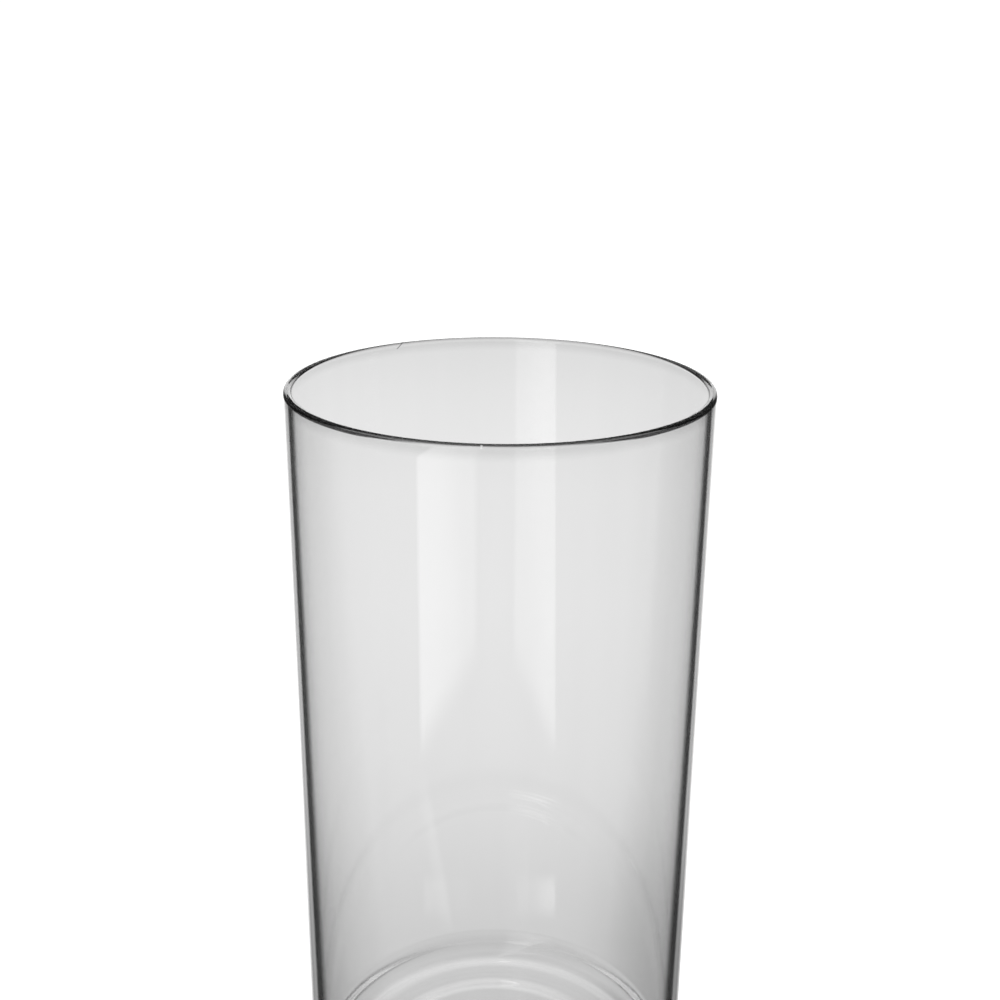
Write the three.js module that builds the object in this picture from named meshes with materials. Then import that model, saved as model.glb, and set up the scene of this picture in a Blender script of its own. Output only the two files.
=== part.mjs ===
// A florist's cylinder vase in clear glass, 150 mm across and 300 mm tall, in millimetres, +Z up.
// It stands on the XY plane with its axis on Z. Two formed glass members are fused end to end:
// a straight wall cut from tube, with a fire-polished rim, and a thicker base shaped like a shallow
// dish. They meet face to face on the flat ring where the inside corner of the base runs into the
// straight wall.
import * as THREE from "three";

// Driving dimensions, mm
const HEIGHT = 300;
const OUTER_RADIUS = 75;
const WALL = 3;
const FLOOR_HEIGHT = 5; // the inside floor above the surface that the vase stands on
const INSIDE_CORNER_RADIUS = 12; // where the floor curves up into the wall
const HEEL_RADIUS = 7; // where the outside of the wall curves under
const RIM_CORNER_RADIUS = 1.45; // fire polishing leaves the rim almost fully round
const REST_RING_WIDTH = 12; // the flat ring that the vase stands on
const PUNT_DEPTH = 1; // how far the underside is hollowed inside that ring
const PUNT_SLOPE_WIDTH = 9; // the slope from the ring up to the flat middle of the hollow

// What follows from them
const INNER_RADIUS = OUTER_RADIUS - WALL;
const FUSED_PLANE = FLOOR_HEIGHT + INSIDE_CORNER_RADIUS;
const REST_RING_OUTSIDE = OUTER_RADIUS - HEEL_RADIUS;
const REST_RING_INSIDE = REST_RING_OUTSIDE - REST_RING_WIDTH;

// Facets
const SIDES = 72; // round the axis
const RIM_STEPS = 5;
const HEEL_STEPS = 6;
const CORNER_STEPS = 8;
const PUNT_STEPS = 6;

const UP = Math.PI / 2;
const DOWN = -Math.PI / 2;
const OUTWARD = 0;
const INWARD = Math.PI;

// Points (radius, height) of an arc, from one direction to another about its centre
function arc(centreRadius, centreHeight, radius, from, to, steps) {
  const points = [];
  for (let i = 0; i <= steps; i++) {
    const angle = from + ((to - from) * i) / steps;
    const across = centreRadius + radius * Math.cos(angle);
    const up = centreHeight + radius * Math.sin(angle);
    points.push(new THREE.Vector2(across, up));
  }
  return points;
}

// A smooth slope between two levels, as one half wave of a cosine
function slope(fromRadius, fromHeight, toRadius, toHeight, steps) {
  const points = [];
  for (let i = 0; i <= steps; i++) {
    const share = i / steps;
    const eased = (1 - Math.cos(Math.PI * share)) / 2;
    const across = fromRadius + (toRadius - fromRadius) * share;
    points.push(new THREE.Vector2(across, fromHeight + (toHeight - fromHeight) * eased));
  }
  return points;
}

// Turns an outline about the vase's axis and stands it up along +Z
function turned(outline) {
  const geometry = new THREE.LatheGeometry(outline, SIDES);
  geometry.rotateX(Math.PI / 2);
  return geometry;
}

function clearGlass() {
  return new THREE.MeshStandardMaterial({
    color: 0xe4e7e7,
    roughness: 0.03,
    metalness: 0,
    transparent: true,
    opacity: 0.35,
  });
}

function named(name, geometry) {
  const mesh = new THREE.Mesh(geometry, clearGlass());
  mesh.name = name;
  return mesh;
}

// The straight tube from the fused plane to the rim
function wall() {
  const rimCentre = HEIGHT - RIM_CORNER_RADIUS;
  const rimOutside = OUTER_RADIUS - RIM_CORNER_RADIUS;
  const rimInside = INNER_RADIUS + RIM_CORNER_RADIUS;
  const outline = [
    new THREE.Vector2(INNER_RADIUS, FUSED_PLANE),
    new THREE.Vector2(OUTER_RADIUS, FUSED_PLANE),
    ...arc(rimOutside, rimCentre, RIM_CORNER_RADIUS, OUTWARD, UP, RIM_STEPS),
    ...arc(rimInside, rimCentre, RIM_CORNER_RADIUS, UP, INWARD, RIM_STEPS),
    new THREE.Vector2(INNER_RADIUS, FUSED_PLANE),
  ];
  return named("wall", turned(outline));
}

// The dished base: a hollowed underside, a round heel, and an inside corner that rises to
// the fused plane
function base() {
  const heel = arc(REST_RING_OUTSIDE, HEEL_RADIUS, HEEL_RADIUS, DOWN, OUTWARD, HEEL_STEPS);
  const corner = arc(
    INNER_RADIUS - INSIDE_CORNER_RADIUS,
    FUSED_PLANE,
    INSIDE_CORNER_RADIUS,
    OUTWARD,
    DOWN,
    CORNER_STEPS,
  );
  const puntMiddle = REST_RING_INSIDE - PUNT_SLOPE_WIDTH;
  const outline = [
    new THREE.Vector2(0, PUNT_DEPTH),
    ...slope(puntMiddle, PUNT_DEPTH, REST_RING_INSIDE, 0, PUNT_STEPS),
    ...heel,
    new THREE.Vector2(OUTER_RADIUS, FUSED_PLANE),
    ...corner,
    new THREE.Vector2(0, FLOOR_HEIGHT),
  ];
  return named("base", turned(outline));
}

const vase = new THREE.Group();
vase.name = "cylinder_vase";
vase.add(base(), wall());

export default vase;
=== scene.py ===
"""A florist's cylinder vase in clear glass, standing on a plain pale floor under soft studio light.

Every length is in metres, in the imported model's frame: the vase stands on z = 0 with its axis on Z.
"""

import math

import bpy
from mathutils import Matrix, Vector


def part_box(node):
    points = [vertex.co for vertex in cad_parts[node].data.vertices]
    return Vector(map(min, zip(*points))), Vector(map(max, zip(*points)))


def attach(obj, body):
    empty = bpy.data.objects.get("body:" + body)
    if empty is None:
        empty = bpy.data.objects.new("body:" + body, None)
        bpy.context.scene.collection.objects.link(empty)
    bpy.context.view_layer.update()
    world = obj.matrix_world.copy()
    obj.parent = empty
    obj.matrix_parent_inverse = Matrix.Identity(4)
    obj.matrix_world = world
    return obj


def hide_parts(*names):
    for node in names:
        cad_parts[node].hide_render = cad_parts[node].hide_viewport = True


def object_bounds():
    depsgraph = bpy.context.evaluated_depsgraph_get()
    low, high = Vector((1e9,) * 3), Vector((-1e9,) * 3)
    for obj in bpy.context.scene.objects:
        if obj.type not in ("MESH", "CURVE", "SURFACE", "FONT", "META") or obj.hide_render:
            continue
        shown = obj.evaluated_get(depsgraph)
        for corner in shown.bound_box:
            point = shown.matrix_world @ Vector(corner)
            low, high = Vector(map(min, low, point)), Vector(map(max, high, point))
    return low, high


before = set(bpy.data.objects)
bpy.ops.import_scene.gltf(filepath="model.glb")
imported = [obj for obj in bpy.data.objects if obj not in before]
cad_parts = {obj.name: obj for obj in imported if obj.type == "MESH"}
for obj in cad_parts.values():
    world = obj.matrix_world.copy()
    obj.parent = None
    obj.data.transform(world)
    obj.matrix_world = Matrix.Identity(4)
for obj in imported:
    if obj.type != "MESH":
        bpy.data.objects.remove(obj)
CAD_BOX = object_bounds()

# ---- Sizes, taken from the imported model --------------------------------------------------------

CLOSE = 1e-5  # lengths nearer to each other than this count as the same


def rings(node):
    """(distance from the axis, height) of every vertex of a CAD node."""
    return [(math.hypot(v.co.x, v.co.y), v.co.z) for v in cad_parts[node].data.vertices]


def radii_at(node, level):
    """Distances from the axis of a CAD node's vertices at one height."""
    return [radius for radius, height in rings(node) if abs(height - level) < CLOSE]


HEIGHT = CAD_BOX[1].z
OUTER_RADIUS = CAD_BOX[1].x
INNER_RADIUS = min(radius for radius, height in rings("wall"))
MIDDLE_OF_WALL = (OUTER_RADIUS + INNER_RADIUS) / 2
RIM_CORNER = OUTER_RADIUS - max(radii_at("wall", HEIGHT))

ON_AXIS = [height for radius, height in rings("base") if radius < CLOSE]
PUNT_DEPTH, FLOOR = min(ON_AXIS), max(ON_AXIS)
FUSED_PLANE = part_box("base")[1].z
INSIDE_CORNER = FUSED_PLANE - FLOOR
REST_RING = radii_at("base", 0)
REST_RING_INSIDE, REST_RING_OUTSIDE = min(REST_RING), max(REST_RING)
HEEL = OUTER_RADIUS - REST_RING_OUTSIDE
PUNT_MIDDLE = max(radius for radius in radii_at("base", PUNT_DEPTH) if radius < REST_RING_INSIDE)

# ---- The vase's shape --------------------------------------------------------------------------

SIDES = 960  # round the axis
PUNT_MIDDLE_STEPS = 4
PUNT_SLOPE_STEPS = 12
REST_RING_STEPS = 2
HEEL_STEPS = 12
WALL_STEPS = 6
RIM_STEPS = 10  # for each of its two corners
INSIDE_CORNER_STEPS = 20
FLOOR_STEPS = 6
GUARD = 0.0001  # how close to a bend a straight stretch has its first and its last point


def between(start, end, share):
    """The point that is a share of the way from one point to another."""
    return (start[0] + (end[0] - start[0]) * share, start[1] + (end[1] - start[1]) * share)


def arc(centre, radius, start, end, steps):
    """Points (distance from the axis, height) of an arc, between two angles in degrees."""
    points = []
    for i in range(steps + 1):
        angle = math.radians(start + (end - start) * i / steps)
        points.append((centre[0] + radius * math.cos(angle), centre[1] + radius * math.sin(angle)))
    return points


def straight(start, end, steps):
    """Points between two others, without those two. The first and the last are close to the ends,
    so that the smooth shading of a bend doesn't run on into the straight stretch next to it."""
    guard = GUARD / math.dist(start, end)
    shares = [guard] + [i / steps for i in range(1, steps)] + [1 - guard]
    return [between(start, end, share) for share in shares]


def slope(start, end, steps):
    """A smooth slope between two levels, as one half wave of a cosine."""
    points = []
    for i in range(steps + 1):
        share = i / steps
        eased = (1 - math.cos(math.pi * share)) / 2
        points.append((between(start, end, share)[0], between(start, end, eased)[1]))
    return points


def outline():
    """The vase's section, from the middle of its underside, out, up, over the rim and down inside to
    the middle of its floor."""
    punt_middle = (0, PUNT_DEPTH)
    punt_edge = (PUNT_MIDDLE, PUNT_DEPTH)
    ring_inside = (REST_RING_INSIDE, 0)
    ring_outside = (REST_RING_OUTSIDE, 0)
    floor_middle = (0, FLOOR)
    rim_centre = HEIGHT - RIM_CORNER
    heel = arc((REST_RING_OUTSIDE, HEEL), HEEL, -90, 0, HEEL_STEPS)
    rim_out = arc((OUTER_RADIUS - RIM_CORNER, rim_centre), RIM_CORNER, 0, 90, RIM_STEPS)
    rim_in = arc((INNER_RADIUS + RIM_CORNER, rim_centre), RIM_CORNER, 90, 180, RIM_STEPS)
    corner_centre = (INNER_RADIUS - INSIDE_CORNER, FUSED_PLANE)
    corner = arc(corner_centre, INSIDE_CORNER, 0, -90, INSIDE_CORNER_STEPS)
    return [
        punt_middle,
        *straight(punt_middle, punt_edge, PUNT_MIDDLE_STEPS),
        *slope(punt_edge, ring_inside, PUNT_SLOPE_STEPS),
        *straight(ring_inside, ring_outside, REST_RING_STEPS),
        *heel,
        *straight(heel[-1], rim_out[0], WALL_STEPS),
        *rim_out,
        *rim_in,
        *straight(rim_in[-1], corner[0], WALL_STEPS),
        *corner,
        *straight(corner[-1], floor_middle, FLOOR_STEPS),
        floor_middle,
    ]


def circle(radius, height, sides):
    """Points round the axis."""
    points = []
    for i in range(sides):
        angle = 2 * math.pi * i / sides
        points.append((radius * math.cos(angle), radius * math.sin(angle), height))
    return points


def new_piece(name, vertices, faces):
    """An object with a mesh of its own, in the scene."""
    mesh = bpy.data.meshes.new(name)
    mesh.from_pydata(vertices, [], faces)
    piece = bpy.data.objects.new(name, mesh)
    bpy.context.scene.collection.objects.link(piece)
    return piece


def turned(name, section, sides):
    """A closed smooth piece turned about Z from a section whose two ends are on the axis."""
    vertices = [(0, 0, section[0][1])]
    for radius, height in section[1:-1]:
        vertices.extend(circle(radius, height, sides))
    vertices.append((0, 0, section[-1][1]))
    end = len(vertices) - 1
    first_ring = 1
    last_ring = end - sides
    faces = []
    for i in range(sides):
        j = (i + 1) % sides
        faces.append((0, first_ring + j, first_ring + i))
        for low in range(first_ring, last_ring, sides):
            high = low + sides
            faces.append((low + i, low + j, high + j, high + i))
        faces.append((end, last_ring + i, last_ring + j))
    piece = new_piece(name, vertices, faces)
    piece.data.polygons.foreach_set("use_smooth", [True] * len(faces))
    piece.data.update()
    return piece


def disc(name, radius, sides):
    """A flat round piece on z = 0."""
    vertices = [(0, 0, 0)] + circle(radius, 0, sides)
    faces = [(0, 1 + i, 1 + (i + 1) % sides) for i in range(sides)]
    return new_piece(name, vertices, faces)


# ---- Shader nodes ------------------------------------------------------------------------------


def node(tree, kind, *values, **settings):
    """A shader node with its first inputs set from numbers or linked from sockets. None leaves an
    input as it is."""
    made = tree.nodes.new("ShaderNode" + kind)
    for name, setting in settings.items():
        setattr(made, name, setting)
    for socket, value in zip(made.inputs, values):
        if isinstance(value, bpy.types.NodeSocket):
            tree.links.new(value, socket)
        elif value is not None:
            socket.default_value = value
    return made


def calc(tree, operation, *values):
    """The result of a Math node."""
    return node(tree, "Math", *values, operation=operation).outputs[0]


def product(tree, first, *others):
    """Values multiplied together."""
    result = first
    for other in others:
        result = calc(tree, "MULTIPLY", result, other)
    return result


def inverse(tree, value):
    """1 where value is 0, and 0 where it is 1."""
    return calc(tree, "SUBTRACT", 1.0, value)


def line(tree, value, slant, start):
    """value times slant, plus start."""
    return calc(tree, "MULTIPLY_ADD", value, slant, start)


def darkened(tree, light, where, share):
    """A light with a share of it taken away where `where` is 1."""
    return product(tree, light, line(tree, where, -share, 1.0))


def rise(tree, value, start, end):
    """0 at start and before it, 1 at end and beyond it, and smooth between. The end can be the lower."""
    ramp = node(tree, "MapRange", value, start, end, 0.0, 1.0, interpolation_type="SMOOTHSTEP")
    return ramp.outputs[0]


def band(tree, value, start, full, full_end, end):
    """0 up to start, 1 from full to full_end, and 0 from end on."""
    return calc(tree, "SUBTRACT", rise(tree, value, start, full), rise(tree, value, full_end, end))


def bands(tree, value, shares):
    """A sum of bands, each given with its share of the whole."""
    total = 0.0
    for share, limits in shares:
        total = line(tree, band(tree, value, *limits), share, total)
    return total


def grey_ramp(tree, value, low, high, stops):
    """A grey level that follows stops of (value, level) from low to high."""
    ramp = tree.nodes.new("ShaderNodeValToRGB")
    points = ramp.color_ramp.elements
    while len(points) < len(stops):
        points.new(0.5)
    for point, (at, level) in zip(points, stops):
        point.position = (at - low) / (high - low)
        point.color = (level, level, level, 1)
    share = node(tree, "MapRange", value, low, high, 0.0, 1.0)
    tree.links.new(share.outputs[0], ramp.inputs[0])
    return ramp.outputs[0]


def noise(tree, place, scale, detail):
    """Soft noise from 0 to 1."""
    made = node(tree, "TexNoise", place)
    made.inputs["Scale"].default_value = scale
    made.inputs["Detail"].default_value = detail
    return made.outputs[0]


# ---- The glass ---------------------------------------------------------------------------------
# A span gives where something starts and where it is full. A band gives where it starts, where it is
# full, where it starts to fade and where it ends.

IOR = 1.5
BODY_GREY = (0.9, 0.9, 0.9, 1)
BODY_DENSITY = 33
TURN_BLEND = 0.5  # with this, the turn is 1 minus the cosine of the angle to the eye

# Clear glass in front of a bright backdrop looks dark near its edges, where it shows the dark studio
# beside the backdrop. Most of that is painted shade on the outer surface here, by how far it turns
# from the eye: 0 is face on and 1 edge on. The level is how much of the light it lets through.
EDGE_SHADE = [
    (0.36, 1.00), (0.42, 0.90), (0.50, 0.81), (0.58, 0.77), (0.62, 0.70), (0.655, 0.60),
    (0.69, 0.47), (0.706, 0.26), (0.726, 0.06), (0.745, 0.008), (0.786, 0.005), (0.80, 0.05),
    (0.815, 0.60), (0.83, 1.00),
]
EDGE_SHADE_TOP = (HEIGHT - 0.9 * RIM_CORNER, HEIGHT - RIM_CORNER)  # it stays below the lip

# Near the rim the wall has a band of painted shade, a little darker
RIM_SHADE_BAND = (HEIGHT - 0.006, HEIGHT - RIM_CORNER)
RIM_SHADE = 0.28

# The round outer half of the lip has painted shade too, in an upper and a lower band, for the dark
# ceiling and sides that it gathers its light from. Spans of turn are on the same scale as the edge
# shade's.
LIP_UPPER = (HEIGHT - 0.45 * RIM_CORNER, HEIGHT - 0.25 * RIM_CORNER)
LIP_UPPER_SHADE = 0.96
LIP_LOWER = (HEIGHT - 0.85 * RIM_CORNER, HEIGHT - 0.65 * RIM_CORNER)
LIP_LOWER_SHADE = 0.99
LIP_LOWER_TURN = (0.05, 0.15)  # the lower band isn't there where the lip faces the eye
LIP_REACH = 0.35 * RIM_CORNER  # how much further down the lower band comes where the lip turns away
LIP_REACH_TURN = (0.12, 0.32)
LIP_END_TURN = (0.86, 0.74)  # where the lip is edge on, neither band is there

# A small bubble in the near lip lets the light through: there the painted shade is left out
BUBBLE_ROUND = (-94.5, -94.25, -93.95, -93.7)  # degrees round from +X
BUBBLE_UP = (HEIGHT - 0.0014, HEIGHT - 0.0011, HEIGHT - 0.0004, HEIGHT - 0.0001)

# A tool left a fine dark slanting nick inside the far lip
NICK_ANGLE = 121.2  # degrees round from +X, at the middle of the wall and the top of the rim
NICK_WIDTH = (0, 0.35, 0.5, 0.85)  # degrees
NICK_SLANT_ACROSS = 600.0  # degrees for each metre from the axis
NICK_SLANT_UP = 900.0  # degrees for each metre up
NICK_FOOT = (HEIGHT - 0.0022, HEIGHT - 0.0018)
NICK_DARKENING = 0.85

# Drawn glass ripples very slightly, in long faint streaks up the wall
STREAK_SCALE = 55
STREAK_DETAIL = 2
STREAK_STRETCH = (1, 1, 0.06)
STREAK_SPAN = (0.35, 0.65)
STREAK_DARKENING = 0.012
RIPPLE_STRENGTH = 0.05
RIPPLE_HEIGHT = 0.0002

# Handling leaves a trace of haze in patches
HAZE_SCALE = 30
HAZE_DETAIL = 4
HAZE_SPAN = (0.55, 0.75)
HAZE_ROUGHNESS = 0.02


def wall_light(tree, turn, z, outside):
    """The light that the wall lets through: all of it, apart from the painted shade near its edges and
    the band of painted shade near the rim."""
    edge = inverse(tree, grey_ramp(tree, turn, 0, 1, EDGE_SHADE))
    light = inverse(tree, product(tree, edge, rise(tree, z, *EDGE_SHADE_TOP), outside))
    rim = product(tree, rise(tree, z, *RIM_SHADE_BAND), outside)
    return darkened(tree, light, rim, RIM_SHADE)


def painted_lip_shade(tree, light, turn, z, outside):
    """The light with the painted shade of both bands of the lip taken from it."""
    lip = product(tree, rise(tree, turn, *LIP_END_TURN), outside)
    upper = rise(tree, z, *LIP_UPPER)
    reach = line(tree, rise(tree, turn, *LIP_REACH_TURN), LIP_REACH, z)
    lower = calc(tree, "SUBTRACT", rise(tree, reach, *LIP_LOWER), upper)
    lower = product(tree, lower, rise(tree, turn, *LIP_LOWER_TURN))
    light = darkened(tree, light, product(tree, upper, lip), LIP_UPPER_SHADE)
    return darkened(tree, light, product(tree, lower, lip), LIP_LOWER_SHADE)


def nick(tree, across, angle, z, outside):
    """1 in the nick on the inner side of the lip, and 0 elsewhere."""
    slanted = line(tree, across, NICK_SLANT_ACROSS, line(tree, z, NICK_SLANT_UP, angle))
    start = NICK_ANGLE + NICK_SLANT_ACROSS * MIDDLE_OF_WALL + NICK_SLANT_UP * HEIGHT
    width = band(tree, slanted, *(start + degrees for degrees in NICK_WIDTH))
    return product(tree, width, rise(tree, z, *NICK_FOOT), inverse(tree, outside))


def clear_glass():
    """Clear soda-lime glass, with a very faint neutral grey in its thickness, and painted shade near its
    edges, rim and lip.
    """
    material = bpy.data.materials.new("clear_glass")
    material.use_nodes = True
    tree = material.node_tree
    shader = tree.nodes["Principled BSDF"]
    shader.inputs["IOR"].default_value = IOR
    shader.inputs["Transmission Weight"].default_value = 1

    weight = tree.nodes.new("ShaderNodeLayerWeight")
    weight.inputs["Blend"].default_value = TURN_BLEND
    turn = weight.outputs["Facing"]
    place = tree.nodes.new("ShaderNodeTexCoord").outputs["Object"]
    x, y, z = node(tree, "SeparateXYZ", place).outputs
    across = calc(tree, "SQRT", calc(tree, "ADD", product(tree, x, x), product(tree, y, y)))
    angle = calc(tree, "DEGREES", calc(tree, "ARCTAN2", y, x))
    outside = calc(tree, "GREATER_THAN", across, MIDDLE_OF_WALL)

    light = wall_light(tree, turn, z, outside)
    light = painted_lip_shade(tree, light, turn, z, outside)
    bubble = product(tree, band(tree, angle, *BUBBLE_ROUND), band(tree, z, *BUBBLE_UP))
    light = calc(tree, "MAXIMUM", light, bubble)
    light = darkened(tree, light, nick(tree, across, angle, z, outside), NICK_DARKENING)

    stretched = node(tree, "Mapping", place)
    stretched.inputs["Scale"].default_value = STREAK_STRETCH
    ripple = noise(tree, stretched.outputs[0], STREAK_SCALE, STREAK_DETAIL)
    light = darkened(tree, light, rise(tree, ripple, *STREAK_SPAN), STREAK_DARKENING)
    tree.links.new(light, shader.inputs["Base Color"])
    bump = tree.nodes.new("ShaderNodeBump")
    bump.inputs["Strength"].default_value = RIPPLE_STRENGTH
    bump.inputs["Distance"].default_value = RIPPLE_HEIGHT
    tree.links.new(ripple, bump.inputs["Height"])
    tree.links.new(bump.outputs[0], shader.inputs["Normal"])

    haze = rise(tree, noise(tree, place, HAZE_SCALE, HAZE_DETAIL), *HAZE_SPAN)
    tree.links.new(product(tree, haze, HAZE_ROUGHNESS), shader.inputs["Roughness"])

    body = tree.nodes.new("ShaderNodeVolumeAbsorption")
    body.inputs["Color"].default_value = BODY_GREY
    body.inputs["Density"].default_value = BODY_DENSITY
    tree.links.new(body.outputs[0], tree.nodes["Material Output"].inputs["Volume"])
    return material


vase = turned("vase_glass", outline(), SIDES)
vase.data.materials.append(clear_glass())
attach(vase, "root")
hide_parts("base", "wall")

# ---- Pale floor --------------------------------------------------------------------------------

PALE_FLOOR_RADIUS = 8
PALE_FLOOR_SIDES = 128
PALE_FLOOR_GLOW = 0.78  # makes it as white as the world that the camera sees behind it
PALE_FLOOR_GREY = (0.85, 0.85, 0.85, 1)


def white_surround():
    """Matt white paper that glows, so that it shows no edge against the white behind it."""
    material = bpy.data.materials.new("white_surround")
    material.use_nodes = True
    tree = material.node_tree
    tree.nodes.clear()
    glow = tree.nodes.new("ShaderNodeEmission")
    glow.inputs["Strength"].default_value = PALE_FLOOR_GLOW
    paper = tree.nodes.new("ShaderNodeBsdfDiffuse")
    paper.inputs["Color"].default_value = PALE_FLOOR_GREY
    both = node(tree, "AddShader", glow.outputs[0], paper.outputs[0])
    node(tree, "OutputMaterial", both.outputs[0])
    return material


# Only the camera sees the floor itself. The glass shows the pale table of the world in its place.
pale_floor = disc("pale_floor", PALE_FLOOR_RADIUS, PALE_FLOOR_SIDES)
pale_floor.data.materials.append(white_surround())
pale_floor.visible_diffuse = False
pale_floor.visible_glossy = False
pale_floor.visible_transmission = False
pale_floor.visible_shadow = False

# ---- Studio light ------------------------------------------------------------------------------
# Elevations and azimuths are in degrees. Azimuth runs from +Y, behind the vase, round by +X. Spans
# and bands are as in the glass.

# How bright the studio looks through the glass at each elevation: the pale table below the horizon,
# the backdrop at it, and the ceiling above
LEVELS = [
    (-90, 0.50), (-40, 0.63), (-36.5, 0.69), (-33, 0.765), (-30, 0.81), (-24, 0.85), (-19, 0.845),
    (-15, 0.795), (-12.5, 0.74), (-5, 0.78), (22, 0.80), (34, 0.50), (90, 0.45),
]

# What the glass mirrors: a dark room with a lighter ceiling, and the lit backdrop behind the vase
ROOM = 0.06
CEILING = 0.05  # how much lighter it is than the room
CEILING_RISE = (14, 30)
BACKDROP_SIDE = (18, 30)  # where it fades, to each side of +Y
BACKDROP_GAIN = 1.6  # how much brighter it is in the glass's mirror than through it
BACKDROP_TOP = (4, 2)  # where the strip takes over
STRIP = 1.9  # the brightest part of the backdrop, above the horizon
STRIP_UP = (2, 4, 14.9, 15.7)

# Two soft shades behind the vase, to its right and its left, strongest low on the table
SHADE_FADE = (-72, -56)  # straight down there are none
LOW = (-31, -38)
RIGHT_SHADE = 0.33
RIGHT_SHADE_ROUND = (3, 14, 30, 60)
RIGHT_SHADE_HIGH = 0.3  # the share of it that is there above the low table too
LEFT_SHADE = 0.16
LEFT_SHADE_ROUND = (-60, -30, -16, -9)

# A tall softbox to the front left. It stands close by, so the far wall sees it narrower than the near
# wall does. Widths are in degrees from -Y round to the left, as the near wall sees them.
SOFTBOX = 1.25
SOFTBOX_ROUND = [(0.55, (10, 14, 42.5, 43.2)), (0.45, (14, 36, 42.5, 43.2))]
SOFTBOX_FOOT = (-26.0, -23.5)
SOFTBOX_FOOT_SLANT = 0.12  # how much lower its foot is for each degree round
FAR_WALL_DEPTH = 3.5  # a ray that the far wall mirrors crosses the near wall twice, so 4 surfaces
FAR_WALL_ELEVATION = (-17.6, -17.0)  # above this the camera looks over the near rim
FAR_WALL_NARROWING = 0.45  # 1 plus this is how many times narrower the far wall sees it, at the horizon
FAR_WALL_NARROWING_SLANT = 0.012  # and this is added for each degree of elevation

# A small bright spot below the softbox
SPOT_ROUND = [(0.30, (13, 16, 41.5, 42.5)), (0.70, (24, 38, 41.5, 42.5))]
SPOT_UP = (-37.3, -36.5, -35.9, -35.2)
SPOT_ON_NEAR_WALL = 0.3  # how bright it is there, against 1 on the far wall

# A faint slanting gleam, on the near wall only
GLEAM = 0.3
GLEAM_UP = (-38, -37, -33, -31)
GLEAM_SLANT = 2.45  # degrees round for each degree of elevation
GLEAM_START = 117.4  # degrees round, at the horizon
GLEAM_WIDTH = (-1.5, 0.5, 1.5, 9)

WHITE = (1, 1, 1, 1)
WHITE_LEVEL = 1.05  # a little over 1, so that it stays plain white


def mirrored_studio(tree, azimuth, elevation, through):
    """What the glass mirrors, from what is seen through it."""
    low = product(tree, rise(tree, elevation, *BACKDROP_TOP), BACKDROP_GAIN)
    horizon = product(tree, through, low)
    strip = product(tree, band(tree, elevation, *STRIP_UP), STRIP)
    aside = calc(tree, "ABSOLUTE", azimuth)
    lit = inverse(tree, rise(tree, aside, *BACKDROP_SIDE))
    backdrop = product(tree, calc(tree, "ADD", horizon, strip), lit)
    room = line(tree, rise(tree, elevation, *CEILING_RISE), CEILING, ROOM)
    return calc(tree, "MAXIMUM", backdrop, room)


def soft_shades(tree, azimuth, elevation):
    """How much of the light the two soft shades take away."""
    low = rise(tree, elevation, *LOW)
    right = product(tree, band(tree, azimuth, *RIGHT_SHADE_ROUND), RIGHT_SHADE)
    right = product(tree, right, line(tree, low, 1 - RIGHT_SHADE_HIGH, RIGHT_SHADE_HIGH))
    left = product(tree, band(tree, azimuth, *LEFT_SHADE_ROUND), LEFT_SHADE, low)
    return product(tree, calc(tree, "ADD", right, left), rise(tree, elevation, *SHADE_FADE))


def softbox(tree, azimuth, elevation, deep):
    """The softbox, its bright spot and its gleam."""
    far = calc(tree, "MAXIMUM", deep, rise(tree, elevation, *FAR_WALL_ELEVATION))
    narrowing = line(tree, elevation, FAR_WALL_NARROWING_SLANT, FAR_WALL_NARROWING)
    front = calc(tree, "ADD", azimuth, 180.0)
    front = product(tree, front, line(tree, far, narrowing, 1.0))

    foot = line(tree, front, SOFTBOX_FOOT_SLANT, elevation)
    lamp = product(tree, bands(tree, front, SOFTBOX_ROUND), rise(tree, foot, *SOFTBOX_FOOT))

    spot = product(tree, bands(tree, front, SPOT_ROUND), band(tree, elevation, *SPOT_UP))
    spot = product(tree, spot, line(tree, deep, 1 - SPOT_ON_NEAR_WALL, SPOT_ON_NEAR_WALL))

    slant = calc(tree, "SUBTRACT", front, line(tree, elevation, GLEAM_SLANT, GLEAM_START))
    gleam = product(tree, band(tree, slant, *GLEAM_WIDTH), band(tree, elevation, *GLEAM_UP))
    gleam = product(tree, gleam, line(tree, deep, -GLEAM, GLEAM))
    return calc(tree, "ADD", calc(tree, "ADD", lamp, spot), gleam)


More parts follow.
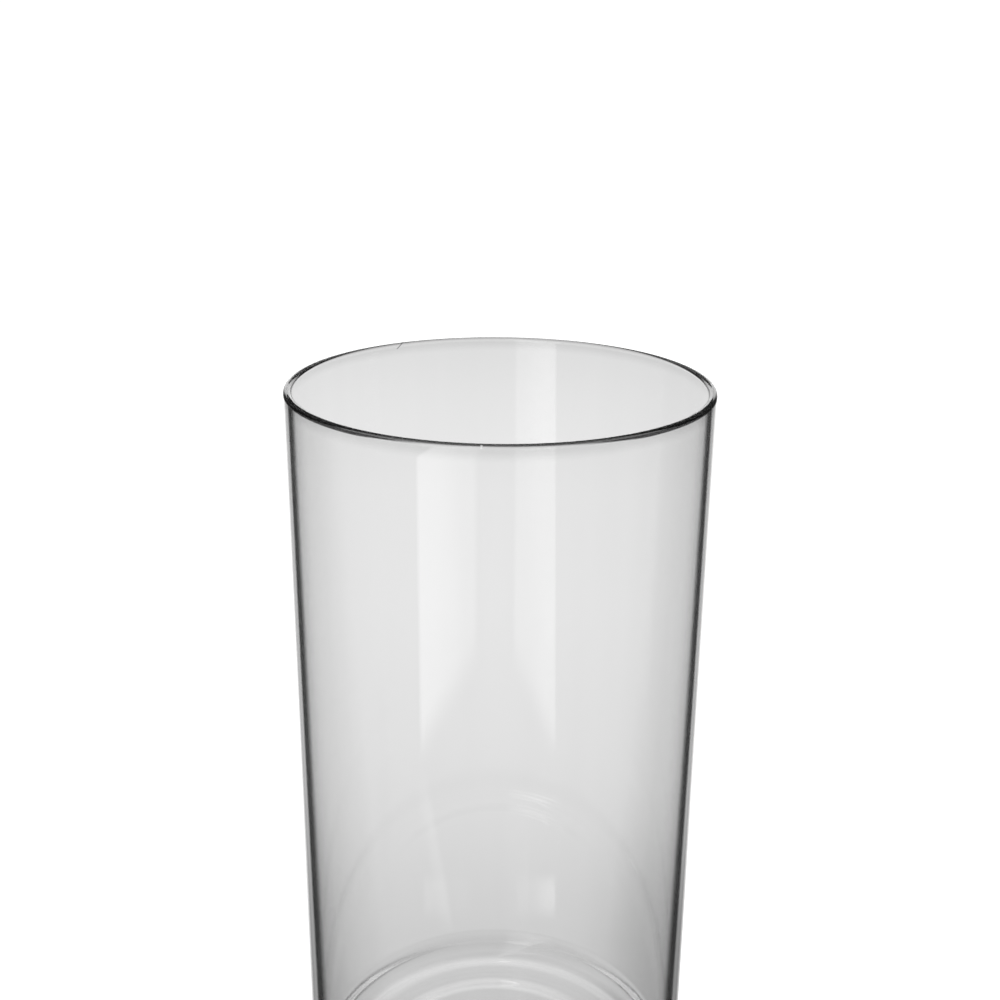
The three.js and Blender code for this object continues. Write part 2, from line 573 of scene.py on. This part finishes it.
def studio():
    """A world that the camera sees as plain white, and the glass as a table, a backdrop and a room."""
    world = bpy.data.worlds.new("studio")
    world.use_nodes = True
    tree = world.node_tree
    tree.nodes.clear()
    towards = tree.nodes.new("ShaderNodeTexCoord").outputs["Generated"]
    x, y, z = node(tree, "SeparateXYZ", towards).outputs
    azimuth = calc(tree, "DEGREES", calc(tree, "ARCTAN2", x, y))
    elevation = calc(tree, "DEGREES", calc(tree, "ARCSINE", z))

    # The rays that a matt surface scatters count as reflected too, and don't see the mirrored studio
    path = tree.nodes.new("ShaderNodeLightPath").outputs
    mirror = calc(tree, "SUBTRACT", path["Is Reflection Ray"], path["Is Diffuse Ray"])
    deep = calc(tree, "GREATER_THAN", path["Transmission Depth"], FAR_WALL_DEPTH)
    through = grey_ramp(tree, elevation, -90, 90, LEVELS)
    mirrored = mirrored_studio(tree, azimuth, elevation, through)
    room = node(tree, "Mix", mirror, None, through, mirrored).outputs[0]
    room = product(tree, room, inverse(tree, soft_shades(tree, azimuth, elevation)))
    light = line(tree, softbox(tree, azimuth, elevation, deep), SOFTBOX, room)

    glow = node(tree, "Background", light, 1.0)
    white = node(tree, "Background", WHITE, WHITE_LEVEL)
    seen = node(tree, "MixShader", path["Is Camera Ray"], glow.outputs[0], white.outputs[0])
    node(tree, "OutputWorld", seen.outputs[0])
    bpy.context.scene.world = world


studio()

# ---- Camera ------------------------------------------------------------------------------------

LENS = 47.02  # mm
SENSOR = 36  # mm across
CAMERA_BACK = 5.909 * OUTER_RADIUS
CAMERA_ABOVE_RIM = 1.504 * OUTER_RADIUS
CAMERA_ASIDE = 0.0035 * OUTER_RADIUS
PITCH = 19.421  # degrees down from level
ROLL = 0.496  # degrees
BOUNCES = 128  # enough for light that runs down inside the wall from face to face

camera_data = bpy.data.cameras.new("camera")
camera_data.sensor_width = SENSOR
camera_data.lens = LENS
camera = bpy.data.objects.new("camera", camera_data)
bpy.context.scene.collection.objects.link(camera)
eye = Matrix.Translation(Vector((CAMERA_ASIDE, -CAMERA_BACK, HEIGHT + CAMERA_ABOVE_RIM)))
tilt = Matrix.Rotation(math.radians(90 - PITCH), 4, "X")
roll = Matrix.Rotation(math.radians(ROLL), 4, "Z")
camera.matrix_world = eye @ tilt @ roll
bpy.context.scene.camera = camera

bpy.context.scene.view_settings.view_transform = "Standard"
bpy.context.scene.cycles.max_bounces = BOUNCES
bpy.context.scene.cycles.transmission_bounces = BOUNCES
bpy.context.scene.cycles.glossy_bounces = BOUNCES
